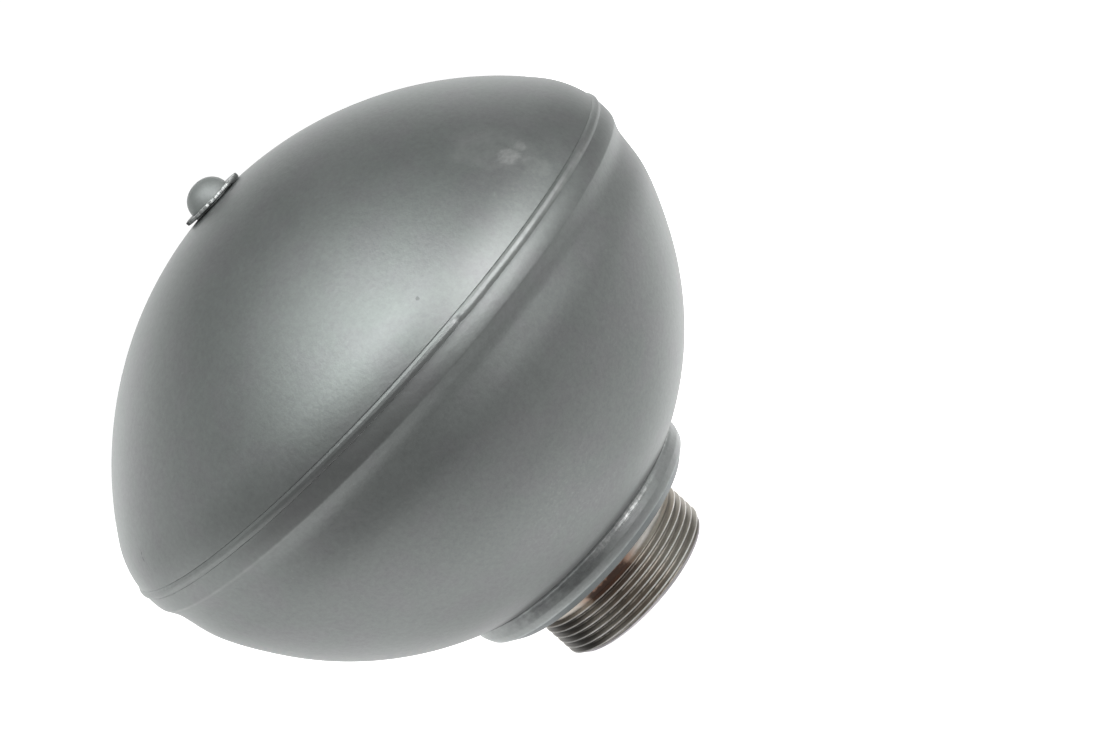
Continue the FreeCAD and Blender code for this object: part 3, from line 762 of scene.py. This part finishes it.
def shell_paint():
    """The shells' paint, with its scuffs, chips and specks, painted shade on the rim band and by the neck's
    weld, and a painted highlight on the band's lower edge.
    """
    f, base, rough, height = painted("shell_paint")
    streaks = f.step(f.noise(3.0, 3.0, 0.6, stretch=(1, 1, 2.0), seed=2.0), 0.2, 0.75)
    scuff = f.spot(SCUFF, 0.5, seed=2.0) * 0.55 + f.spot(SCUFF_TAIL, 0.8, seed=9.0) * 0.3
    scuff = scuff + f.spot(SCUFF_HAZE, 0.5, seed=5.0) * 0.22 + f.spot(SCUFF_FOOT, 0.9) * 0.2
    # Painted shade on the bowl next to the neck's weld.
    crevice = f.step(f.reach, WELD_REACH + 4.0, WELD_REACH + 0.4) * f.step(f.height, SEAM, SEAM - 20)
    chip = f.spot(RIM_CHIP, 1.0) * f.step(f.noise(0.9, 2.0, seed=35.0), 0.42, 0.6)
    chip = chip + f.spot(PINPRICK, 0.9)
    spray = f.spot(SPRAY, 0.5, seed=4.0) * f.step(f.noise(0.7, 2.0, 0.6, seed=31.0), 0.58, 0.66)
    # A painted highlight along the lower edge of the bowl's rim band, on one side.
    edge = f.step(f.height, BAND_FOOT - 0.5, BAND_FOOT) * f.step(f.height, BAND_FOOT + 0.5, BAND_FOOT)
    edge = edge * f.near(-56.0, 34.0) * f.noise(3.0, 2.0, seed=33.0)
    # Painted shade over the rim band on one side.
    band = f.step(f.height, BAND_FOOT, BAND_FOOT + 0.4) * f.step(f.height, SEAM - 0.4, SEAM - 0.8)
    base = f.mix(band * f.near(-16.0, 28.0) * 0.34, base, BAND_SHADE)
    # Real scuffs and specks, together with the painted highlight on the band's edge.
    base = f.mix(scuff * streaks + spray * 0.12 + edge * 0.5, base, RUBBED_PAINT_AND_HIGHLIGHT)
    # Real chips, together with the painted shade by the neck's weld.
    base = f.mix(chip * 0.45 + crevice * 0.6, base, CHIP_AND_CREVICE_SHADE)
    return f.finish(base, 0.95, rough + scuff * 0.08, f.bump(height, 0.03))


def bead_paint():
    """Paint over the seam's weld, with painted highlights, partly rubbed paint, along stretches of its crest,
    and painted shade on one side.
    """
    f, base, rough, height = painted("bead_paint")
    proud = f.step(f.reach, BAND_REACH - 0.05, BAND_REACH + 0.12)
    patchy = f.step(f.noise(5.0, 3.0, 0.6, seed=17.0), 0.25, 0.7)
    # The crest's bright stretches are painted highlights, partly rubbed paint that is also glossier.
    stretches = f.near(16.0, 22.0) * 0.06 + f.near(39.0, 18.0) * 0.6 + f.near(-54.0, 22.0) * 0.1
    rubbed = proud * patchy * stretches
    base = f.mix(rubbed, base, WELD_HIGHLIGHT_AND_WEAR)
    # Painted shade: the bead is darkened on one side.
    base = f.mix(f.near(-14.0, 26.0) * 0.5, base, WELD_SHADE)
    ripple = f.noise(0.7, 2.0, 0.5, seed=19.0)
    return f.finish(base, 0.9, rough - rubbed * 0.1, f.bump(height + ripple, 0.03))


def neck_bead_paint():
    """Paint over the neck's weld, lighter than the shells' as painted light, with painted shade in the
    crevice, grime and fine bright scratches on the ridge that are partly a painted highlight.
    """
    f, base, rough, height = painted("neck_bead_paint")
    # Fine scratches on the ridge, brightened as a painted highlight on the side facing the light.
    scratched_highlight = f.step(f.noise(1.2, 4.0, 0.75, stretch=(1, 1, 0.5), seed=41.0), 0.42, 0.60)
    scratched_highlight = scratched_highlight * f.near(13.0, 26.0)
    # Painted shade toward the crevice where the weld meets the bowl.
    crevice = f.step(f.reach, COLLAR_REACH + 0.1, COLLAR_REACH + 0.7)
    # The paint is made 1.3 times lighter than the shells': painted light.
    base = f.mix(scratched_highlight * 0.75, f.shade(base, 1.3), SCRATCHED_WELD_HIGHLIGHT)
    base = f.mix(f.grime() * 0.6, base, COLLAR_GRIME)
    base = f.mix(crevice * 0.75, base, CREVICE_SHADE)
    lumps = f.noise(1.6, 3.0, 0.6, seed=43.0)
    return f.finish(base, 0.9, rough - scratched_highlight * 0.1, f.bump(height + lumps * 1.2, 0.04))


def thread_steel(f, grime, crest, root):
    """The thread's bare steel: burnished crests brightened further by a painted highlight, oily grooves,
    painted highlight lines along their bottoms, and painted shade on one side.
    """
    # Painted highlight lines along the bottoms of the grooves.
    bottom = f.step(f.reach, THREAD_RADIUS - 0.83, THREAD_RADIUS - 0.9) * f.near(-8.0, 50.0)
    steel = f.mix(grime, OILY_STEEL, GREY_STEEL)
    steel = f.mix(root * 0.5, steel, ROOT_OIL)
    steel = f.mix(f.near(-2.0, 26.0) * 0.5, steel, BROWN_OIL)
    # Painted shade: one side of the thread is darkened nearly to black.
    steel = f.mix(f.near(THREAD_SHADE_AZIMUTH, 36.0) * 0.9, steel, THREAD_SHADE)
    steel = f.mix(bottom * f.step(grime, 0.3, 0.6) * 0.7, steel, GROOVE_HIGHLIGHT)
    burnish = f.step(f.noise(4.0, 3.0, 0.6, seed=55.0), 0.25, 0.6)
    # The crests are dimmed on that shaded side too.
    burnish = (0.45 + burnish * 0.55) * (1 - f.near(THREAD_SHADE_AZIMUTH, 30.0) * 0.6)
    # Crests: burnished steel, brightened further as a painted highlight.
    return f.mix(crest * burnish, steel, CREST_STEEL_AND_HIGHLIGHT)


def land_steel(f, grime):
    """The bare land above the thread: straw-coloured, coppery round the stain, with a painted highlight
    beside it.
    """
    steel = f.mix(grime, STRAW_LAND, CREAM_LAND)
    steel = f.mix(f.near(STAIN_AZIMUTH, 30.0) * 0.9, steel, COPPER_LAND)
    # Painted highlight on the land beside the stain.
    return f.mix(f.near(33.0, 26.0) * 0.8, steel, LAND_HIGHLIGHT)


def collar_paint(f, paint):
    """The collar's paint: lighter than the shells' as painted light, grimy on one side, with painted shade
    underneath and a patchy painted highlight along its lower edge.
    """
    # Painted shade on the collar's underside.
    under = f.step(f.height, COLLAR_FOOT + 0.05, COLLAR_FOOT - 0.2)
    rubbed = f.step(f.noise(1.4, 3.0, 0.6, seed=59.0), 0.4, 0.6)
    # A painted highlight along the collar's lower edge, patchy where the paint is rubbed.
    edge = f.step(f.height, COLLAR_FOOT - 0.15, COLLAR_FOOT + 0.1)
    edge = edge * f.step(f.height, COLLAR_FOOT + 0.5, COLLAR_FOOT + 0.15)
    # The paint is made 1.3 times lighter than the shells': painted light.
    paint = f.mix(f.grime() * 0.6, f.shade(paint, 1.3), COLLAR_GRIME)
    paint = f.mix(under * 0.65, paint, COLLAR_SHADE)
    return f.mix(edge * (0.3 + rubbed * 0.3), paint, COLLAR_EDGE_HIGHLIGHT_AND_WEAR)


def neck_steel():
    """The neck fitting: paint on the collar, bare oily steel on the thread and a stained coppery land, with
    painted light and shade on all three.
    """
    f, paint, rough, height = painted("neck_steel")
    grime = f.noise(2.2, 3.0, 0.6, seed=51.0)
    crest = f.step(f.reach, THREAD_RADIUS - 0.16, THREAD_RADIUS - 0.03)
    root = f.step(f.reach, THREAD_RADIUS - 0.45, THREAD_RADIUS - 0.85)
    border = f.height + (grime - 0.5) * 0.6 - f.near(36.0, 34.0) * 0.3
    on_land = f.step(border, THREAD_TOP + 0.2, THREAD_TOP + 0.9)
    steel = f.mix(on_land, thread_steel(f, grime, crest, root), land_steel(f, grime))

    # A dark stain on the land, which soaks down into the first groove.
    stain = f.step(f.near(STAIN_AZIMUTH, 24.0) + (grime - 0.5) * 1.6, 0.08, 0.84)
    stain = stain * f.step(f.height + (grime - 0.5) * 2.0, SEAL_FACE - 1.9, SEAL_FACE - 2.5)
    soaked = f.step(f.height + (grime - 0.5) * 1.2, THREAD_TOP - 1.4, THREAD_TOP - 0.4) * (1 - crest * 0.8)
    steel = f.mix(stain * soaked * 0.9, steel, DARK_STAIN)
    chamfer = f.step(f.height, 0.75, 0.45) * f.step(f.reach, 15.5, 16.2)
    steel = f.mix(chamfer * 0.9, steel, CHAMFER_STEEL)

    # The collar's paint ends ragged on the seal face.
    paint_edge = f.reach + (f.noise(1.2, 2.0, seed=57.0) - 0.5) * 0.8
    painted_part = f.step(paint_edge, SEAL_FACE_RADIUS - 1.2, SEAL_FACE_RADIUS - 0.9)
    bare_part = 1 - painted_part
    base = f.mix(painted_part, steel, collar_paint(f, paint))
    metallic = 0.95 - bare_part * (0.1 + crest * 0.35 + on_land * 0.35)
    bare_rough = 0.42 + grime * 0.12 + root * 0.1 + crest * 0.08 - on_land * 0.14
    roughness = bare_rough * bare_part + rough * painted_part
    lay = f.noise(0.16, 2.0, 0.6, stretch=(0.05, 0.05, 1.0), seed=53.0)
    lumps = f.noise(1.9, 3.0, 0.6, seed=45.0)
    relief = (height + lumps * 1.5) * painted_part * 0.035 + lay * bare_part * 0.012
    return f.finish(base, metallic, roughness, f.bump(relief, 1.0))


def flash_paint():
    """The pressed-out ring: dark paint, a patchy painted highlight along the upper edge, and painted shade at
    one tip.
    """
    f, base, rough, height = painted("flash_paint")
    top = f.step(f.height, FLASH_FOOT + 0.35, FLASH_TOP - 0.25)
    # A patchy painted highlight on the ring's upper face, strongest toward one side.
    patchy_highlight = f.step(f.noise(0.9, 3.0, 0.6, seed=61.0), 0.3, 0.55) * (0.25 + f.near(20.0, 75.0) * 0.75)
    # Painted shade at the ring's tip, which also takes away its highlight there.
    tip_shade = f.near(-84.0, 34.0)
    base = f.mix(top * patchy_highlight * (1 - tip_shade), f.shade(base, 0.6 - tip_shade * 0.4), RING_HIGHLIGHT)
    return f.finish(base, 0.8, rough - patchy_highlight * 0.1, f.bump(height, 0.04))


def plug_paint():
    """The plug's paint, a little chalkier than the shells' and rubbed at the top."""
    f, base, rough, height = painted("plug_paint")
    rubbed = f.step(f.height, PLUG_TOP - 0.8, PLUG_TOP)
    base = f.mix(rubbed * 0.15, base, RUBBED_PLUG)
    return f.finish(base, 0.62, rough + 0.1, f.bump(height, 0.02))


def zinc_plate():
    """Bright zinc plating with a fine turned lay and faint passivation tints."""
    f = Finish("zinc_plate")
    tint = f.noise(3.0, 2.0, seed=71.0)
    lay = f.noise(0.12, 2.0, 0.6, stretch=(0.06, 0.06, 1.0), seed=73.0)
    base = f.mix(tint, ZINC_BLUE, ZINC_YELLOW)
    return f.finish(base, 1.0, 0.28 + tint * 0.12, f.bump(lay, 0.01))


def spring_strip():
    """Polished blue-grey spring steel with rolling marks."""
    f = Finish("spring_strip")
    marks = f.noise(0.2, 2.0, 0.6, stretch=(1.0, 0.05, 1.0), seed=81.0)
    heat = f.noise(4.0, 2.0, seed=83.0)
    base = f.mix(heat, STRIP_BLUE, STRIP_STRAW)
    return f.finish(base, 1.0, 0.2 + marks * 0.12, f.bump(marks, 0.006))


def sintered_iron():
    """Matt sintered iron: an open grain of small pores, darkened by oil."""
    f = Finish("sintered_iron")
    pores = f.add("ShaderNodeTexVoronoi", {"feature": "F1"}, {"Vector": f.place, "Scale": 3.2}, "Distance")
    pits = f.step(pores, 0.28, 0.12)
    oil = f.noise(3.5, 3.0, seed=91.0)
    base = f.mix(pits, f.mix(oil, OILED_IRON, DRY_IRON), IRON_PORE)
    return f.finish(base, 0.85, 0.42 + oil * 0.16, f.bump(pits * -1, 0.03))


def moulded_rubber(name, tone, gloss, grain):
    """Black moulded rubber with bloom and a fine mould texture."""
    f = Finish(name)
    bloom = f.noise(6.0, 3.0, 0.6, seed=95.0)
    texture = f.noise(grain, 2.0, 0.6, seed=97.0)
    base = f.mix(bloom, (tone, tone, tone), (tone * 1.7, tone * 1.7, tone * 1.75))
    return f.finish(base, 0.0, gloss + bloom * 0.12, f.bump(texture, 0.02))


def moulded_plastic():
    """Dark grey moulded nylon with faint flow marks."""
    f = Finish("moulded_nylon")
    flow = f.noise(5.0, 2.0, 0.5, stretch=(1, 1, 0.4), seed=101.0)
    texture = f.noise(0.3, 2.0, 0.6, seed=103.0)
    base = f.mix(flow, DARK_NYLON, PALE_NYLON)
    return f.finish(base, 0.0, 0.42 + flow * 0.1, f.bump(texture, 0.012))


def stage_finish(name, glow, albedo):
    """An even white that glows a little, so that shadows on it stay faint."""
    f = Finish(name)
    tone = f.noise(160.0, 2.0)
    base = f.mix(tone, (albedo, albedo, albedo), (albedo * 0.99, albedo * 0.99, albedo * 0.98))
    return f.finish(base, 0.0, 0.9, **{"Emission Color": colour(WHITE), "Emission Strength": glow})


def dress(piece, material):
    """Puts one finish on every face of a piece."""
    slots = piece.data.materials
    slots.clear()
    slots.append(material)


def dress_all():
    """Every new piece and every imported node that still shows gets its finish."""
    shell = shell_paint()
    zinc = zinc_plate()
    strip = spring_strip()
    finishes = {
        "gas_dome": shell,
        "hydraulic_bowl": shell,
        "seam_bead": bead_paint(),
        "threaded_neck": neck_steel(),
        "neck_bead": neck_bead_paint(),
        "plug_head": plug_paint(),
        "plug_flash_ring": flash_paint(),
        "rubber_diaphragm": moulded_rubber("membrane_rubber", 0.022, 0.55, 0.4),
        "damper_seal": moulded_rubber("seal_rubber", 0.03, 0.35, 0.25),
        "diaphragm_button": moulded_plastic(),
        "damper_body": sintered_iron(),
        "retaining_ring": strip,
    }
    for index in range(1, 4):
        finishes[f"compression_disc_{index}"] = strip
        finishes[f"rebound_disc_{index}"] = strip
    for node in ("clamp_ring", "upper_spacer", "lower_spacer", "upper_stop", "lower_stop", "damper_bolt",
                 "damper_nut"):
        finishes[node] = zinc
    for name, material in finishes.items():
        dress(bpy.data.objects[name], material)


def surroundings(name, build, sizes, height, material):
    """One piece of the studio, made by a bmesh call with its sizes. Only the camera sees it."""
    work = bmesh.new()
    build(work, radius=STAGE_RADIUS * MM, **sizes)
    mesh = bpy.data.meshes.new(name)
    work.to_mesh(mesh)
    work.free()
    item = bpy.data.objects.new(name, mesh)
    item.location.z = height * MM
    dress(item, material)
    bpy.context.scene.collection.objects.link(item)
    item.visible_diffuse = False
    item.visible_glossy = False
    item.visible_shadow = False


def stage():
    """A pale floor just under the neck's end, and a white surround."""
    surroundings("floor", bmesh.ops.create_circle, {"cap_ends": True, "segments": 96}, FLOOR_HEIGHT,
                 stage_finish("pale_floor", 1.0, 0.8))
    surroundings("surround", bmesh.ops.create_uvsphere, {"u_segments": 48, "v_segments": 24}, 0.0,
                 stage_finish("white_surround", 1.05, 0.0))


def soft_box(name, towards, spread, power, tint):
    """A square soft box in one direction from the sphere's middle, facing it and this many degrees wide."""
    middle = Vector((0.0, 0.0, SEAM * MM))
    lamp = bpy.data.lights.new(name, "AREA")
    lamp.shape = "SQUARE"
    lamp.size = 2 * LAMP_DISTANCE * math.tan(math.radians(spread / 2)) * MM
    lamp.energy = power
    lamp.color = tint
    holder = bpy.data.objects.new(name, lamp)
    way = Vector(towards).normalized()
    holder.location = middle + way * LAMP_DISTANCE * MM
    holder.rotation_euler = way.to_track_quat("Z", "Y").to_euler()
    holder.visible_camera = False
    bpy.context.scene.collection.objects.link(holder)


def lights():
    """The soft boxes, the white walls and floor of a studio as wide lamps, and even light all round."""
    for name, (towards, spread, power, tint) in LAMPS.items():
        soft_box(name, towards, spread, power, tint)
    world = bpy.data.worlds.new("studio")
    world.use_nodes = True
    background = world.node_tree.nodes["Background"].inputs
    background["Color"].default_value = colour(WHITE)
    background["Strength"].default_value = EVEN_LIGHT
    bpy.context.scene.world = world


def camera():
    """The photograph's viewing angle: from beside the seam, a little above, and rolled."""
    view = bpy.data.cameras.new("camera")
    view.sensor_fit = "HORIZONTAL"
    view.sensor_width = SENSOR_WIDTH
    view.lens = LENS
    view.clip_start = CLIP_START
    holder = bpy.data.objects.new("camera", view)
    turn = Matrix((CAMERA_RIGHT, CAMERA_UP, CAMERA_BACK)).transposed()
    holder.matrix_world = Matrix.Translation(CAMERA_PLACE) @ turn.to_4x4()
    bpy.context.scene.collection.objects.link(holder)
    bpy.context.scene.camera = holder


dome()
bowl()
seam_bead()
neck()
neck_bead()
plug()
flash()
membrane()
dress_all()
stage()
lights()
camera()
bpy.context.scene.view_settings.view_transform = "Standard"
